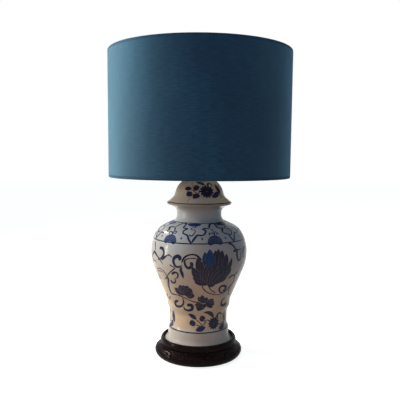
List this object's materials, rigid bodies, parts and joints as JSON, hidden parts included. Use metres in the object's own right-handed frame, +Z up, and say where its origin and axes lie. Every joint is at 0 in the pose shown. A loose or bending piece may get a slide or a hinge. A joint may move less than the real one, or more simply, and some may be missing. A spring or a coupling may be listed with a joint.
{
  "type": "table lamp",
  "caption": "Ginger jar table lamp: a lidded porcelain jar on a carved wooden stand, with a screw-cap lampholder, push-bar switch and drum shade.",
  "frame": {"origin": "middle of the underside of the felt pad, on the surface the lamp stands on", "axes": "+Z up along the lamp's axis; the painted front faces -Y; the cord outlet is at the back, +Y"},
  "size_m": [0.388, 0.388, 0.6525],
  "materials": {
    "lacquered_wood": "gloss black-brown lacquer",
    "felt": "dark green felt",
    "glazed_porcelain": "glossy warm white glaze with blue painting under it",
    "holder_porcelain": "plain white glaze",
    "brass": "satin lacquered brass",
    "plated_steel": "zinc plated",
    "rubber": "matt black",
    "switch_plastic": "glossy dark brown",
    "bulb_plastic": "white",
    "opal_diffuser": "opal, translucent",
    "bulb_cap_metal": "bright",
    "insulator_glass": "glossy black",
    "shade_cloth": "teal blue velvet-like cloth",
    "liner": "off-white laminate",
    "painted_wire": "white powder coat"
  },
  "bodies": {
    "lamp": {"felt_pad": "felt", "wooden_stand": "lacquered_wood", "cord_bush": "switch_plastic", "base_nut": "plated_steel", "base_washer": "plated_steel", "jar_gasket": "rubber", "jar": "glazed_porcelain", "lid": "glazed_porcelain", "lamp_rod": "plated_steel", "lid_gasket": "rubber", "vase_cap": "brass", "neck_tube": "brass", "check_nut": "brass", "holder_cap": "brass", "holder_grub_screw": "plated_steel", "holder_insert": "holder_porcelain", "terminal_screws": "brass", "holder_sleeve": "brass", "screw_shell": "brass", "centre_contact": "brass", "lower_shade_ring": "brass"},
    "switch": {"switch_bar": "switch_plastic"},
    "shade_ring": {"upper_shade_ring": "brass"},
    "bulb_tip": {"bulb_contact": "brass", "bulb_insulator": "insulator_glass"},
    "bulb": {"bulb_cap": "bulb_cap_metal", "bulb_housing": "bulb_plastic", "led_board": "bulb_cap_metal", "bulb_dome": "opal_diffuser"},
    "shade": {"shade_fabric": "shade_cloth", "shade_liner": "liner", "shade_top_hem": "shade_cloth", "shade_bottom_hem": "shade_cloth", "shade_top_wire": "painted_wire", "shade_bottom_wire": "painted_wire", "shade_spider": "painted_wire"}
  },
  "joints": [
    {"name": "switch_push", "type": "slide", "parent": "lamp", "child": "switch", "axis": [1, 0, 0], "range_m": [0, 0.006]},
    {"name": "shade_turn", "type": "hinge", "parent": "lamp", "child": "shade", "pos_m": [0, 0, 0.447], "axis": [0, 0, 1], "continuous": true},
    {"name": "shade_ring_turn", "type": "hinge", "parent": "lamp", "child": "shade_ring", "pos_m": [0, 0, 0.449], "axis": [0, 0, 1], "range_deg": [0, 1080]},
    {"name": "bulb_rise", "type": "slide", "parent": "lamp", "child": "bulb_tip", "axis": [0, 0, 1], "range_m": [0, 0.01452]},
    {"name": "bulb_turn", "type": "hinge", "parent": "bulb_tip", "child": "bulb", "pos_m": [0, 0, 0.45], "axis": [0, 0, 1], "range_deg": [0, 1440]}
  ],
  "couplings": [
    {"joint": "bulb_rise", "follows": "bulb_turn", "m_per_rad": 0.00057757}
  ]
}
